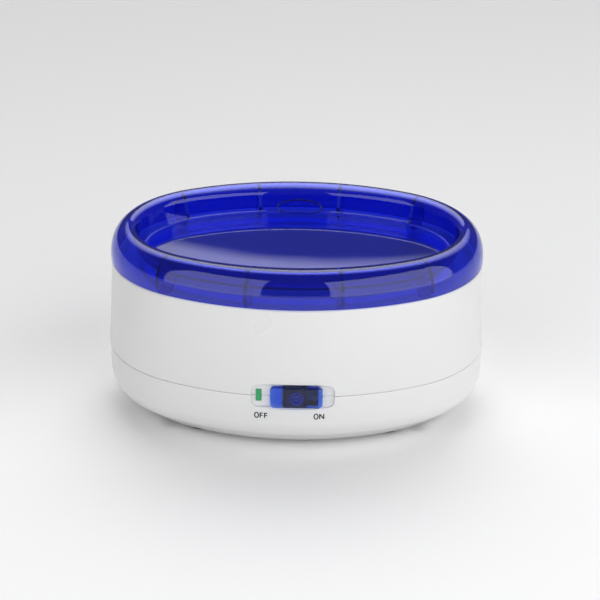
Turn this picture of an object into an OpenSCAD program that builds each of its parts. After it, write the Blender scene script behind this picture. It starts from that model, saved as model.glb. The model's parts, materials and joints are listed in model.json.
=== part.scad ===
// Household ultrasonic cleaner with an oval body, a sunken lift-off lid and a slide switch.
// Millimetres. +Z is up, the front faces -Y, and the origin is on the table under the centre.

/* [Body outline] */
// Half of the body's length, at the seam
half_length = 102.5; // [98:0.5:106]
// Half of the body's depth, at the seam
half_depth = 76; // [75:0.5:78]
// Radius of the outline's two ends
end_radius = 67.5; // [66:0.5:69]

/* [Heights above the table] */
// Underside of the base
base_z = 2; // [1.5:0.5:3]
// Seam between the base and the upper housing
seam_z = 36.2; // [35:0.1:38]
// Shoulder that the lid rests on
shoulder_z = 84; // [82:0.5:90]
// Crown of the lid above the shoulder
lid_rise = 18.5; // [18:0.5:21]

/* [Shells] */
// Wall of the white housing
wall = 2.5; // [2:0.1:3]
// Wall of the lid
lid_wall = 2.2; // [1.8:0.1:2.4]
// Radius of the base's lower corner
corner_radius = 12; // [10:0.5:13]
// Slope of the base's underside towards the table
under_slope = 36.9; // [32:0.1:42]
// How far the body narrows from the seam to the shoulder
body_draft = 2.5; // [1.5:0.1:3]

/* [Tank] */
// Sheet thickness of the basin
sheet = 0.8; // [0.6:0.1:1]
// How far the basin's mouth lies in from the body outline
tank_inset = 25; // [24:0.5:27]
// Depth of the basin below its flange
tank_depth = 51.4; // [46:0.2:52]

/* [Slide switch] */
// Width of the switch recess
recess_w = 43.2; // [42:0.2:46]
// Height of the switch recess
recess_h = 12.5; // [12:0.1:14]
// Depth of the recess under the skin
recess_depth = 1.4; // [1.2:0.1:1.6]
// Width of the switch knob
knob_w = 27.2; // [26:0.2:28]
// Height of the switch knob
knob_h = 11.8; // [11:0.1:11.9]
// Travel of the switch from off to on
switch_travel = 5.5; // [4:0.1:5.5]

/* [Lid ribs] */
// Distance of the inner ribs from the middle
rib_inner_x = 25.5; // [20:0.5:28]
// Distance of the outer ribs from the middle
rib_outer_x = 73; // [66:0.5:76]
// Thickness of a rib
rib_t = 1.8; // [1:0.1:2]

/* [Hidden] */
$fn = 48;
eps = 0.01;

// Four-arc oval: end arcs about (+-end_x, 0), side arcs about (0, +-side_y).
end_x = half_length - end_radius;
side_radius = (end_x * end_x + half_depth * half_depth - end_radius * end_radius)
              / (2 * (half_depth - end_radius));
side_y = side_radius - half_depth;
join_angle = atan2(side_y, end_x);
end_steps = 24;
side_steps = 16;
ring_count = 2 * (end_steps + side_steps);

// Base profile
base_inset = 0.5;
corner_top_z = 21.2;
bottom_radius = 3;
seam_gap = 0.2;
edge_break = 0.5;
lip_gap = 0.3;
lip_t = 1.4;
lip_rise = 3.5;

// Deck of the upper housing
shoulder_w = 3.5;
deck_z = shoulder_z - 4;
deck_inner = 22.5;

// Lid profile
lid_gap = 0.3;
crown_inset = 12;
crown_half_w = 9.9;
lid_foot_inset = 2;
lid_straight = 4;
rim_radius = 4.7;
well_squeeze = 0.06;
well_floor_z = shoulder_z + 4.5;
well_wall_lean = 2;
well_fillet = 1.5;
lug_z = deck_z + 1.2;

// Tank
gasket_t = 0.8;
flange_z = deck_z + gasket_t;
flange_outer = 17;
tank_floor_z = flange_z + sheet - tank_depth;
tank_draft = 3;
tank_corner = 8;
mouth_radius = 3;

// Screws, posts and feet
pillar_angle = 50;
pillar_inset = 18;
pillar_r = 4;
boss_r = 5.25;
well_r = 3.75;
screw_seat_z = 14;
pillar_foot_z = 24;
foot_x = 50;
foot_y = 38;
foot_r = 7;
foot_seat = 0.6;

// Driver board
board_l = 120;
board_y0 = -30;
board_y1 = 34;
board_z = 9;
board_t = 1.6;
board_top = board_z + board_t;
post_x = 55;
post_y = [-25, 29];
post_r = 4;
disc_r = 25;
disc_t = 3;
bond_t = 0.4;
disc_z = tank_floor_z - sheet - bond_t - disc_t;

// Switch
switch_z = 36.15;
knob_x = 1.9;
knob_z = 36.4;
knob_front = half_depth + 1.5;
knob_back = half_depth - recess_depth + 0.3;
carriage_x = 1.2;
carriage_w = 12.2;
carriage_h = 11;
carriage_back = 66;
window_h = 11.6;
window_clear = 0.4;
hub_r = 3.6;
hub_wall = 0.9;
hub_core = 1.9;
hub_z = knob_z - 1.1;
hub_back = 72.5;
hub_clear = 0.1;
switch_front = 64;
switch_back = 56;
switch_w = 24;
switch_h = 9;
switch_mid_x = carriage_x + switch_travel / 2;
bracket_t = 2;
bracket_post_x = 17;
bracket_post_z = 27.5;
bracket_post_r = 3.5;
lever_w = 4;
lever_h = 3.4;
led_x = -17.7;
led_z = 36.4;
led_w = 2.8;
led_h = 6.4;

// Mains inlet
inlet_z = 27.5;
inlet_seat_y = 74.8;
inlet_front_y = knob_front;
inlet_w = 22;
inlet_h = 11;
inlet_back_y = 59;
socket_r = 4.2;
socket_floor_y = 63;
pin_x = 4.3;
pin_r = 1.2;
stake = 2;

abs_white = [0.93, 0.93, 0.93];
lid_blue = [0.05, 0.08, 0.75, 0.6];
steel = [0.75, 0.76, 0.78];
copper = [0.72, 0.42, 0.2];
black = [0.08, 0.08, 0.09];

// ---------- points and profiles ----------

// Point at radius r and angle a about a centre
function polar(centre, r, a) = [centre[0] + r * cos(a), centre[1] + r * sin(a)];

// Open run of points along an arc, leaving out its last point
function arc_run(centre, r, a0, a1, steps) =
    [for (i = [0 : steps - 1]) polar(centre, r, a0 + (a1 - a0) * i / steps)];

// Points of an elliptic arc, both ends included
function ellipse_run(centre, rx, ry, a0, a1, steps) =
    [for (i = [0 : steps])
        let (a = a0 + (a1 - a0) * i / steps)
        [centre[0] + rx * cos(a), centre[1] + ry * sin(a)]];

// The body outline grown by `grow`, as flat points
function oval(grow) = concat(
    arc_run([end_x, 0], end_radius + grow, -join_angle, join_angle, end_steps),
    arc_run([0, -side_y], side_radius + grow, join_angle, 180 - join_angle, side_steps),
    arc_run([-end_x, 0], end_radius + grow, 180 - join_angle, 180 + join_angle, end_steps),
    arc_run([0, side_y], side_radius + grow, 180 + join_angle, 360 - join_angle, side_steps));

// Skins a list of [grow, z] rings round the oval; closed profiles make a hoop, open ones a cup.
// A third value makes that ring's oval shallower in Y by that share.
module oval_loft(profile, closed = false) {
    rings = len(profile);
    points = [for (p = profile)
        let (depth = 1 - (len(p) > 2 ? p[2] : 0))
        for (q = oval(p[0])) [q[0], q[1] * depth, p[1]]];
    last = closed ? rings - 1 : rings - 2;
    sides = [for (i = [0 : last]) for (j = [0 : ring_count - 1])
        let (a = i * ring_count, b = ((i + 1) % rings) * ring_count, k = (j + 1) % ring_count)
        [a + j, b + j, b + k, a + k]];
    bottom = [for (j = [0 : ring_count - 1]) j];
    top = [for (j = [ring_count - 1 : -1 : 0]) (rings - 1) * ring_count + j];
    polyhedron(points, closed ? sides : concat(sides, [bottom, top]));
}

// Flat oval plate or ring between two heights
module oval_plate(grow, z0, z1) {
    translate([0, 0, z0])
        linear_extrude(z1 - z0)
            polygon(oval(grow));
}

// The base's lower corner, `inside` mm in from the skin, from the flat bottom to the wall
function base_corner(inside) =
    let (c = [-base_inset - corner_radius, corner_top_z],
         r = corner_radius - inside,
         end = polar(c, r, under_slope - 90),
         touch_z = base_z + inside + bottom_radius * (1 - cos(under_slope)),
         touch = end[0] - (end[1] - touch_z) / tan(under_slope),
         b = [touch - bottom_radius * sin(under_slope), base_z + inside + bottom_radius])
    concat(ellipse_run(b, bottom_radius, bottom_radius, -90, under_slope - 90, 3),
           ellipse_run(c, r, r, under_slope - 90, 0, 5));

// The same list from its last entry to its first
function backwards(list) = [for (i = [len(list) - 1 : -1 : 0]) list[i]];

// Places its children where the oval's normal meets the given side point, turned to face out
module on_oval(x, side, grow) {
    on_side = abs(x) < (side_radius * end_x) / norm([end_x, side_y]);
    a = on_side ? acos(x / side_radius) : acos((abs(x) - end_x) / end_radius);
    c = on_side ? [0, -side_y] : [sign(x) * end_x, 0];
    turn = on_side ? a : (x > 0 ? a : 180 - a);
    r = (on_side ? side_radius : end_radius) + grow;
    mirror([0, side < 0 ? 1 : 0, 0])
        translate([c[0] + r * cos(turn), c[1] + r * sin(turn), 0])
            rotate([0, 0, turn])
                children();
}

// Copies its children to the four pillar places
module at_pillars() {
    p = polar([end_x, 0], end_radius - pillar_inset, pillar_angle);
    for (sx = [-1, 1])
        for (sy = [-1, 1])
            translate([sx * p[0], sy * p[1], 0])
                children();
}

// Boss for a housing screw; its foot follows the slope of the base's corner from inside the wall
module screw_boss(sx, sy) {
    p = polar([end_x, 0], end_radius - pillar_inset, pillar_angle);
    foot_z = base_z + 1.5;
    translate([sx * p[0], sy * p[1], 0])
        rotate([0, 0, sx > 0 ? sy * pillar_angle : 180 - sy * pillar_angle])
            difference() {
                translate([0, 0, foot_z])
                    cylinder(r = boss_r, h = pillar_foot_z - seam_gap - foot_z);
                translate([0, 0, foot_z])
                    rotate([0, -under_slope, 0])
                        translate([0, -2 * boss_r, -20])
                            cube([20, 4 * boss_r, 20]);
            }
}

// Box centred on X and Z, between two Y planes
module front_box(w, y0, y1, h, x, z) {
    translate([x - w / 2, y0, z - h / 2])
        cube([w, y1 - y0, h]);
}

// Round-cornered bar along Y, between two Y planes
module front_bar(w, y0, y1, h, r, x, z) {
    translate([x, y1, z])
        rotate([90, 0, 0])
            linear_extrude(y1 - y0)
                union() {
                    square([w - 2 * r, h], center = true);
                    square([w, h - 2 * r], center = true);
                    for (sx = [-1, 1])
                        for (sz = [-1, 1])
                            translate([sx * (w / 2 - r), sz * (h / 2 - r)])
                                circle(r);
                }
}

// Cylinder along Y, between two Y planes
module front_rod(r, y0, y1, x, z) {
    translate([x, y1, z])
        rotate([90, 0, 0])
            cylinder(r = r, h = y1 - y0);
}

// Round lead along a list of points, swept with a ring of eight at each
module lead(path, r) {
    sides = 8;
    n = len(path);
    points = [for (i = [0 : n - 1])
        let (t = path[min(i + 1, n - 1)] - path[max(i - 1, 0)],
             d = t / norm(t),
             u0 = cross(d, abs(d[2]) > 0.9 ? [1, 0, 0] : [0, 0, 1]),
             u = u0 / norm(u0),
             v = cross(d, u))
        for (k = [0 : sides - 1]) path[i] + r * (u * cos(k * 360 / sides) + v * sin(k * 360 / sides))];
    skin = [for (i = [0 : n - 2]) for (k = [0 : sides - 1])
        let (m = (k + 1) % sides)
        [i * sides + k, i * sides + m, (i + 1) * sides + m, (i + 1) * sides + k]];
    start = [for (k = [sides - 1 : -1 : 0]) k];
    finish = [for (k = [0 : sides - 1]) (n - 1) * sides + k];
    polyhedron(points, concat(skin, [start, finish]));
}

// Path from a to b with a short straight stub at each end, na out of a and nb out of b,
// and a smooth run between the stubs that is pulled along da and db
function curve(a, na, da, b, nb, db, steps = 10) =
    let (p = a + na * 0.6, q = b + nb * 0.6)
    concat([a],
           [for (i = [0 : steps])
               let (t = i / steps, s = 1 - t)
               s * s * s * p + 3 * s * s * t * (p + da) + 3 * s * t * t * (q + db) + t * t * t * q],
           [b]);

// ---------- shells ----------

// Everything that the switch and its lamp need cut out of the front
module switch_cutout() {
    difference() {
        front_bar(recess_w, -half_depth - 4, -half_depth + 6, recess_h, 3.4, 0, switch_z);
        oval_plate(-recess_depth, seam_z - 15, seam_z + 15);
    }
    window_w = carriage_w + switch_travel + 2 * window_clear;
    front_box(window_w, -half_depth - 4, -half_depth + 9, window_h,
              carriage_x + switch_travel / 2, knob_z);
    front_box(led_w + 0.2, -half_depth - 4, -half_depth + 9, led_h + 0.2, led_x, led_z);
}

module base_shell() {
    outer = concat(base_corner(0),
        [[-0.1, seam_z - seam_gap / 2 - edge_break],
         [-edge_break, seam_z - seam_gap / 2]]);
    lip = [[-wall - lip_gap, seam_z - seam_gap / 2],
           [-wall - lip_gap, seam_z + lip_rise],
           [-wall - lip_gap - lip_t, seam_z + lip_rise],
           [-wall - lip_gap - lip_t, seam_z - 4],
           [-wall - base_inset, seam_z - 7]];
    vent_pitch = 6.4;
    color(abs_white)
        difference() {
            union() {
                oval_loft(concat(outer, lip, backwards(base_corner(wall))));
                for (sx = [-1, 1])
                    for (sy = [-1, 1])
                        screw_boss(sx, sy);
                for (sx = [-1, 1])
                    for (y = post_y)
                        translate([sx * post_x, y, base_z + 1.5])
                            cylinder(r = post_r, h = board_z - base_z - 1.5);
                at_bracket_posts()
                    front_rod(bracket_post_r, -73.1, -switch_front, 0, 0);
            }
            switch_cutout();
            at_pillars() {
                translate([0, 0, base_z - 1])
                    cylinder(r = well_r, h = screw_seat_z - base_z + 1);
                cylinder(r = 1.7, h = pillar_foot_z + 1);
            }
            for (sx = [-1, 1])
                for (y = post_y)
                    translate([sx * post_x, y, base_z + wall])
                        cylinder(r = 1.2, h = board_z);
            for (sx = [-1, 1])
                for (sy = [-1, 1])
                    translate([sx * foot_x, sy * foot_y, base_z - 1])
                        cylinder(r = foot_r + 0.1, h = foot_seat + 1);
            for (sx = [-1, 1])
                for (i = [-2 : 2])
                    translate([sx * 40 - 9, i * vent_pitch - 1.1, base_z - 1])
                        cube([18, 2.2, wall + 2]);
            front_box(inlet_w + 0.4, half_depth - 8, half_depth + 4, inlet_h + 0.4, 0, inlet_z);
            front_box(inlet_w + 5.4, inlet_seat_y, half_depth + 4, inlet_h + 3.4, 0, inlet_z);
            at_bracket_posts()
                front_rod(1.1, -switch_front - 6, -switch_front + 1, 0, 0);
        }
}

module upper_housing() {
    low = seam_z + seam_gap / 2;
    skin = [[-wall, low],
            [-edge_break, low],
            [0, low + edge_break],
            [-body_draft, shoulder_z - 1.3],
            [-body_draft - 0.4, shoulder_z - 0.4],
            [-body_draft - 1.3, shoulder_z],
            [-body_draft - shoulder_w, shoulder_z],
            [-body_draft - shoulder_w, deck_z],
            [-deck_inner, deck_z],
            [-deck_inner, deck_z - wall],
            [-body_draft - shoulder_w - wall, deck_z - wall],
            [-body_draft - wall, deck_z - wall - 3.5]];
    color(abs_white)
        difference() {
            union() {
                oval_loft(skin, closed = true);
                at_pillars()
                    translate([0, 0, pillar_foot_z])
                        cylinder(r = pillar_r, h = deck_z - 1 - pillar_foot_z);
            }
            switch_cutout();
            at_pillars()
                translate([0, 0, pillar_foot_z - 1])
                    cylinder(r = 1.3, h = 14);
        }
}

module housing_screws() {
    color(steel)
        at_pillars()
            difference() {
                union() {
                    translate([0, 0, screw_seat_z - 2.4])
                        cylinder(r = 3.2, h = 2.4);
                    translate([0, 0, screw_seat_z])
                        cylinder(r = 1.3, h = pillar_foot_z + 11 - screw_seat_z);
                }
                translate([-2, -0.4, screw_seat_z - 2.5])
                    cube([4, 0.8, 1.1]);
                translate([-0.4, -2, screw_seat_z - 2.5])
                    cube([0.8, 4, 1.1]);
            }
}

module foot(sx, sy) {
    color(black)
        translate([sx * foot_x, sy * foot_y, 0])
            rotate_extrude()
                polygon([[0, 0], [foot_r - 1, 0], [foot_r - 0.3, 0.7], [foot_r, base_z],
                         [foot_r, base_z + foot_seat], [0, base_z + foot_seat]]);
}

module foot_front_left() { foot(-1, -1); }
module foot_front_right() { foot(1, -1); }
module foot_back_left() { foot(-1, 1); }
module foot_back_right() { foot(1, 1); }

module rating_label() {
    label_t = 0.15;
    color([0.8, 0.8, 0.8])
        translate([-22, -13, base_z - label_t])
            cube([44, 26, label_t]);
}

// ---------- tank ----------

module tank() {
    bend_z = flange_z + sheet - mouth_radius;
    in_top = -tank_inset;
    in_low = -tank_inset - tank_draft;
    corner_z = tank_floor_z + tank_corner;
    inner = concat(
        ellipse_run([in_top + mouth_radius, bend_z], mouth_radius, mouth_radius, 90, 180, 4),
        ellipse_run([in_low - tank_corner, corner_z], tank_corner, tank_corner, 0, -90, 6));
    outer = concat(
        ellipse_run([in_low - tank_corner, corner_z], tank_corner + sheet, tank_corner + sheet, -90, 0, 6),
        ellipse_run([in_top + mouth_radius, bend_z], mouth_radius - sheet, mouth_radius - sheet, 180, 90, 4));
    edge = [[-flange_outer, flange_z], [-flange_outer, flange_z + sheet]];
    color(steel)
        oval_loft(concat(outer, edge, inner));
}

module tank_gasket() {
    color([0.85, 0.85, 0.82])
        difference() {
            oval_plate(-flange_outer - 0.5, deck_z, flange_z);
            oval_plate(-flange_outer - 3.5, deck_z - 1, flange_z + 1);
        }
}

module transducer_bond() {
    color([0.55, 0.45, 0.25])
        translate([0, 0, disc_z + disc_t])
            cylinder(r = disc_r + 1, h = bond_t);
}

module transducer_disc() {
    color([0.82, 0.8, 0.74])
        translate([0, 0, disc_z])
            cylinder(r = disc_r, h = disc_t);
}

// ---------- driver board ----------

module driver_board() {
    color([0.75, 0.62, 0.35])
        difference() {
            translate([-board_l / 2, board_y0, board_z])
                cube([board_l, board_y1 - board_y0, board_t]);
            for (sx = [-1, 1])
                for (y = post_y)
                    translate([sx * post_x, y, board_z - 1])
                        cylinder(r = 1.6, h = board_t + 2);
        }
}

module board_screws() {
    color(steel)
        for (sx = [-1, 1])
            for (y = post_y)
                translate([sx * post_x, y, 0]) {
                    translate([0, 0, board_top])
                        cylinder(r = 2.8, h = 1.6);
                    translate([0, 0, board_z - 4])
                        cylinder(r = 1.2, h = board_t + 4);
                }
}

// A part that stands on the board, as a box with its low corner at x, y
module on_board(x, y, size) {
    translate([x, y, board_top])
        cube(size);
}

module transformer_core() {
    color([0.2, 0.2, 0.21])
        difference() {
            translate([29, -3, board_top + 1])
                cube([26, 10, 15]);
            for (x = [33, 44.5])
                translate([x, -4, board_top + 4])
                    cube([6.5, 12, 9]);
        }
}

module transformer_winding() {
    color(copper)
        difference() {
            translate([33.2, -8, board_top + 4.2])
                cube([17.6, 20, 8.6]);
            translate([39.4, -3.1, board_top + 3])
                cube([5.2, 10.2, 11]);
        }
    color(black)
        for (y = [-7.5, 9.5])
            translate([34, y, board_top])
                cube([16, 2, 4.2]);
}

module choke_core() {
    color([0.85, 0.8, 0.3])
        translate([-42, 2, board_top + 2])
            difference() {
                cylinder(r = 10, h = 7);
                translate([0, 0, -1])
                    cylinder(r = 5, h = 9);
            }
}

module choke_winding() {
    turns = 14;
    color(copper)
        translate([-42, 2, board_top + 2])
            for (i = [0 : turns - 1])
                rotate([0, 0, i * 340 / turns])
                    translate([7.5, 0, 3.5])
                        difference() {
                            cube([8, 1.3, 9.4], center = true);
                            cube([5.2, 2, 7.2], center = true);
                        }
}

module bulk_capacitor() {
    color([0.12, 0.14, 0.3])
        translate([-46, 24, board_top])
            rotate_extrude()
                polygon([[0, 0], [6.2, 0], [6.2, 1.2], [5.8, 1.7], [6.2, 2.2],
                         [6.2, 14.6], [5.8, 15], [0, 15]]);
}

module film_capacitors() {
    color([0.65, 0.15, 0.12])
        for (x = [-24, -2])
            on_board(x, 22, [16, 7, 11.5]);
}

module bridge_rectifier() {
    color(black)
        on_board(36, 24, [14, 4, 10]);
}

module heatsink() {
    fins = 6;
    color([0.7, 0.71, 0.73])
        union() {
            on_board(-16, -20, [44, 2, 14]);
            for (i = [0 : fins - 1])
                on_board(-16 + i * 42 / (fins - 1), -27, [2, 7.5, 14]);
        }
}

module power_transistors() {
    for (x = [-9, 13])
        color(black) {
            on_board(x, -18, [10, 4.4, 9]);
            for (i = [0 : 2])
                on_board(x + 1.9 + i * 2.5, -16.2, [1.2, 0.6, 0.5]);
        }
    for (x = [-9, 13])
        color(steel)
            translate([x, -18, board_top + 9])
                cube([10, 1.3, 4.5]);
}

module fuse() {
    color([0.9, 0.92, 0.92])
        translate([-50, -22, board_top + 4.2])
            rotate([0, 90, 0])
                cylinder(r = 2.6, h = 20);
}

module fuse_clips() {
    color(steel)
        for (x = [-49, -35])
            difference() {
                on_board(x, -25.2, [4, 6.4, 5.5]);
                translate([x - 1, -22, board_top + 4.2])
                    rotate([0, 90, 0])
                        cylinder(r = 2.62, h = 6);
            }
}

module board_connectors() {
    color([0.95, 0.95, 0.92]) {
        on_board(20, 22, [9, 8, 8]);
        on_board(-5, 0, [10, 6, 6]);
        on_board(34, -27, [9, 7, 8]);
        on_board(-27, -27, [7, 6, 6]);
    }
}

// ---------- mains inlet ----------

module power_inlet() {
    color(black)
        difference() {
            union() {
                front_bar(inlet_w + 5, inlet_seat_y, inlet_front_y, inlet_h + 3, 2, 0, inlet_z);
                front_box(inlet_w, inlet_back_y, inlet_seat_y + 1, inlet_h, 0, inlet_z);
            }
            for (x = [-pin_x, pin_x])
                front_rod(socket_r, socket_floor_y, inlet_front_y + 1, x, inlet_z);
            front_box(2 * pin_x, socket_floor_y, inlet_front_y + 1, 2 * socket_r - 1.6, 0, inlet_z);
            for (x = [-pin_x, pin_x])
                front_box(stake, inlet_back_y - 1, socket_floor_y + 1, stake, x, inlet_z);
        }
}

module inlet_pins() {
    color(steel)
        for (x = [-pin_x, pin_x])
            union() {
                front_rod(pin_r, socket_floor_y - eps, inlet_front_y - 2.5, x, inlet_z);
                front_box(stake, inlet_back_y, socket_floor_y, stake, x, inlet_z);
                front_box(3.6, inlet_back_y - 6, inlet_back_y + eps, 0.8, x, inlet_z);
            }
}

// ---------- leads ----------

module mains_leads() {
    color([0.25, 0.2, 0.16])
        for (s = [-1, 1])
            lead(curve([s * pin_x, inlet_back_y - 6, inlet_z], [0, -1, 0], [0, -10, 0],
                       [24.5 + s * 2.2, 26, board_top + 8], [0, 0, 1], [0, 2, 6]), 1);
}

module transducer_leads() {
    color([0.7, 0.1, 0.1])
        for (s = [-1, 1])
            lead(curve([s * 2.5, 3, board_top + 6], [0, 0, 1], [0, 0, 4],
                       [s * 14, 3, disc_z], [0, 0, -1], [0, 0, -4]), 0.7);
}

module switch_leads() {
    color([0.15, 0.2, 0.6])
        for (s = [-1, 1])
            lead(curve([switch_mid_x + s * 5, -switch_back + 1.9, switch_z - 0.4], [0, 0, -1], [0, 0, -14],
                       [38.5 + s * 2.2, -24, board_top + 8], [0, 0, 1], [0, 0, 4]), 0.8);
}

module led_leads() {
    color([0.1, 0.45, 0.2])
        for (s = [-1, 1])
            lead(curve([led_x, -66, led_z + s * 1.6], [0, 1, 0], [0, 4, -14],
                       [-23.5 + s * 1.6, -24, board_top + 6], [0, 0, 1], [0, 0, 4]), 0.6);
}

// ---------- switch ----------

module slide_switch() {
    color(steel)
        difference() {
            front_box(switch_w, -switch_front, -switch_back, switch_h, switch_mid_x, switch_z);
            front_box(lever_w + switch_travel + 1, -switch_front - 1, -switch_front + 4.5,
                      lever_h + 0.8, switch_mid_x, switch_z);
        }
    color(copper)
        for (s = [-1, 1])
            front_box(1.6, -switch_back, -switch_back + 3, 0.8, switch_mid_x + s * 5, switch_z);
}

// Places its children at the two bracket posts, with Y along each post
module at_bracket_posts() {
    for (side = [-1, 1])
        translate([switch_mid_x + side * bracket_post_x, 0, bracket_post_z])
            children();
}

module switch_bracket() {
    cheek_x = switch_w / 2 + bracket_t;
    shelf_z = switch_z - switch_h / 2 - bracket_t;
    ear_w = bracket_post_x + bracket_post_r - cheek_x + bracket_t;
    color(abs_white)
        difference() {
            union() {
                front_box(2 * cheek_x, -switch_front, -switch_back, bracket_t,
                          switch_mid_x, shelf_z + bracket_t / 2);
                for (side = [-1, 1]) {
                    front_box(bracket_t, -switch_front, -switch_back, switch_h + bracket_t,
                              switch_mid_x + side * (cheek_x - bracket_t / 2), switch_z - bracket_t / 2);
                    front_box(ear_w, -switch_front, -switch_front + bracket_t, 2 * bracket_post_r + 4,
                              switch_mid_x + side * (cheek_x - bracket_t + ear_w / 2), bracket_post_z + 1);
                }
            }
            at_bracket_posts()
                front_rod(1.4, -switch_front - 1, -switch_front + bracket_t + 1, 0, 0);
        }
}

module bracket_screws() {
    color(steel)
        at_bracket_posts() {
            front_rod(2.4, -switch_front + bracket_t, -switch_front + bracket_t + 1.4, 0, 0);
            front_rod(1.1, -switch_front - 5, -switch_front + bracket_t + eps, 0, 0);
        }
}

module led_lens() {
    front = -half_depth + recess_depth + led_x * led_x / (2 * side_radius);
    color([0.05, 0.6, 0.25])
        union() {
            front_box(led_w, front - 0.7, -67, led_h, led_x, led_z);
            front_box(led_w + 1.6, -69, -66, led_h + 1.6, led_x, led_z);
        }
}

module switch_knob() {
    color([0.08, 0.2, 0.85])
        difference() {
            union() {
                front_bar(knob_w, -knob_front + 0.7, -knob_back, knob_h, 2.4, knob_x, knob_z);
                front_bar(knob_w - 1.4, -knob_front, -knob_front + 1, knob_h - 1.4, 1.8, knob_x, knob_z);
                front_rod(hub_r, -knob_back - eps, -hub_back, knob_x, hub_z);
            }
            difference() {
                front_rod(hub_r - hub_wall, -knob_back - 0.4, -hub_back + 1, knob_x, hub_z);
                front_rod(hub_core, -knob_back - 1, -hub_back + 2, knob_x, hub_z);
            }
            front_rod(0.7, -knob_back - 0.8, -hub_back + 1, knob_x, hub_z);
        }
}

// Carriage in the recess window, with the socket that the knob's hub clips in and the switch's lever
module switch_carriage() {
    color(black)
        difference() {
            union() {
                front_box(carriage_w, -knob_back, -carriage_back, carriage_h, carriage_x, knob_z);
                front_box(lever_w, -carriage_back - 1, -switch_front + 3.5, lever_h, carriage_x, switch_z);
            }
            front_rod(hub_r + hub_clear, -knob_back - 1, -hub_back + hub_clear, knob_x, hub_z);
        }
}

// ---------- lid ----------

// Lid section from the crown's outside down to the rim, `inside` mm in from the skin
function lid_outside(inside) =
    let (c = [-crown_inset, shoulder_z + lid_straight])
    ellipse_run(c, crown_half_w - inside, lid_rise - lid_straight - inside, 0, 90, 8);

// Lid section from the crown down the well wall to the well floor, `inside` mm in from the skin.
// The well's oval is shallower than the body's.
function lid_inside(inside) =
    let (rim = [-crown_inset, shoulder_z + lid_rise - rim_radius],
         foot = [-crown_inset - rim_radius - well_wall_lean - well_fillet, well_floor_z + well_fillet])
    concat([for (i = [0 : 4])
               let (a = 105 + 75 * i / 4, p = polar(rim, rim_radius - inside, a))
               [p[0], p[1], -well_squeeze * cos(a)]],
           [for (i = [0 : 4])
               let (p = polar(foot, well_fillet + inside, -90 * i / 4))
               [p[0], p[1], well_squeeze]]);

// A rib across the hollow rim, with the lug that drops inside the housing's shoulder;
// reach is how far the well wall stands in from the body's oval there
module lid_rib(x, side, reach) {
    lug_out = -body_draft - shoulder_w - 0.5;
    lug_in = -flange_outer + 1.5;
    on_oval(x, side, 0)
        rotate([90, 0, 0])
            linear_extrude(rib_t, center = true)
                polygon([[lug_in, lug_z], [lug_out, lug_z], [lug_out, shoulder_z + 1],
                         [-lid_foot_inset - lid_wall + 0.5, shoulder_z + 3],
                         [-lid_foot_inset - lid_wall + 0.1, shoulder_z + 8],
                         [-8, shoulder_z + lid_rise - 5], [-crown_inset, shoulder_z + lid_rise - 1.5],
                         [-15.4 - reach, shoulder_z + lid_rise - 5.5], [-17.5 - reach, well_floor_z + 2],
                         [-18.8 - reach, well_floor_z - 1]]);
}

module lid() {
    low = shoulder_z + lid_gap;
    foot = [[-lid_foot_inset - lid_wall, low], [-lid_foot_inset - 0.3, low], [-lid_foot_inset, low + 0.4]];
    color(lid_blue)
        union() {
            oval_loft(concat(backwards(lid_inside(lid_wall)), backwards(lid_outside(lid_wall)),
                             foot, lid_outside(0), lid_inside(0)));
            for (side = [-1, 1])
                for (sx = [-1, 1]) {
                    lid_rib(sx * rib_inner_x, side, 3.5);
                    lid_rib(sx * rib_outer_x, side, 1.8);
                }
        }
}

base_shell();
upper_housing();
tank();
tank_gasket();
transducer_disc();
transducer_bond();
driver_board();
board_screws();
transformer_core();
transformer_winding();
choke_core();
choke_winding();
bulk_capacitor();
film_capacitors();
bridge_rectifier();
heatsink();
power_transistors();
fuse();
fuse_clips();
board_connectors();
power_inlet();
inlet_pins();
mains_leads();
transducer_leads();
switch_leads();
led_leads();
slide_switch();
switch_bracket();
bracket_screws();
led_lens();
housing_screws();
rating_label();
foot_front_left();
foot_front_right();
foot_back_left();
foot_back_right();
switch_knob();
switch_carriage();
lid();
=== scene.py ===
"""Oval ultrasonic cleaner with a sunken clear blue lid: looks and studio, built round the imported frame."""

import json
import math

import bmesh
import bpy
import numpy as np
from mathutils import Matrix, Vector


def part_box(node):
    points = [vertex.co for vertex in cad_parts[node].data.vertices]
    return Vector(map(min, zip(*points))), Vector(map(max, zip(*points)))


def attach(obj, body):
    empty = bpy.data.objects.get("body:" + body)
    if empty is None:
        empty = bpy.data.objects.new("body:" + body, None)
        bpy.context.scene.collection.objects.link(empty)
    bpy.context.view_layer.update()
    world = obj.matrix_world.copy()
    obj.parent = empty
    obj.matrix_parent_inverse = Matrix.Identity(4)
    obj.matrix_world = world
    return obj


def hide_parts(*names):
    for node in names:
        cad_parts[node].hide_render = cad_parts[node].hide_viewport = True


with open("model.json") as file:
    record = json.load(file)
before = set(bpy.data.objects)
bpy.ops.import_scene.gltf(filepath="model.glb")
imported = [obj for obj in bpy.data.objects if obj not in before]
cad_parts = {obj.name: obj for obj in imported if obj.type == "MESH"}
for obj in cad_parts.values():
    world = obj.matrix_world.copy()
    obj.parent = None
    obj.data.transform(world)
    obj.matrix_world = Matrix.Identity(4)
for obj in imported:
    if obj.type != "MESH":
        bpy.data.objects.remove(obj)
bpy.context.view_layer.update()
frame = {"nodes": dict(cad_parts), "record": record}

MM = 0.001

# ---------------------------------------------------------------- sizes from the frame
upper_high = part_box("upper_housing")[1]
base_low, base_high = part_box("base_shell")
lid_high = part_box("lid")[1]
tank_low, tank_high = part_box("tank")
knob_low, knob_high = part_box("switch_knob")
lens_low, lens_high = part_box("led_lens")

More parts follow.
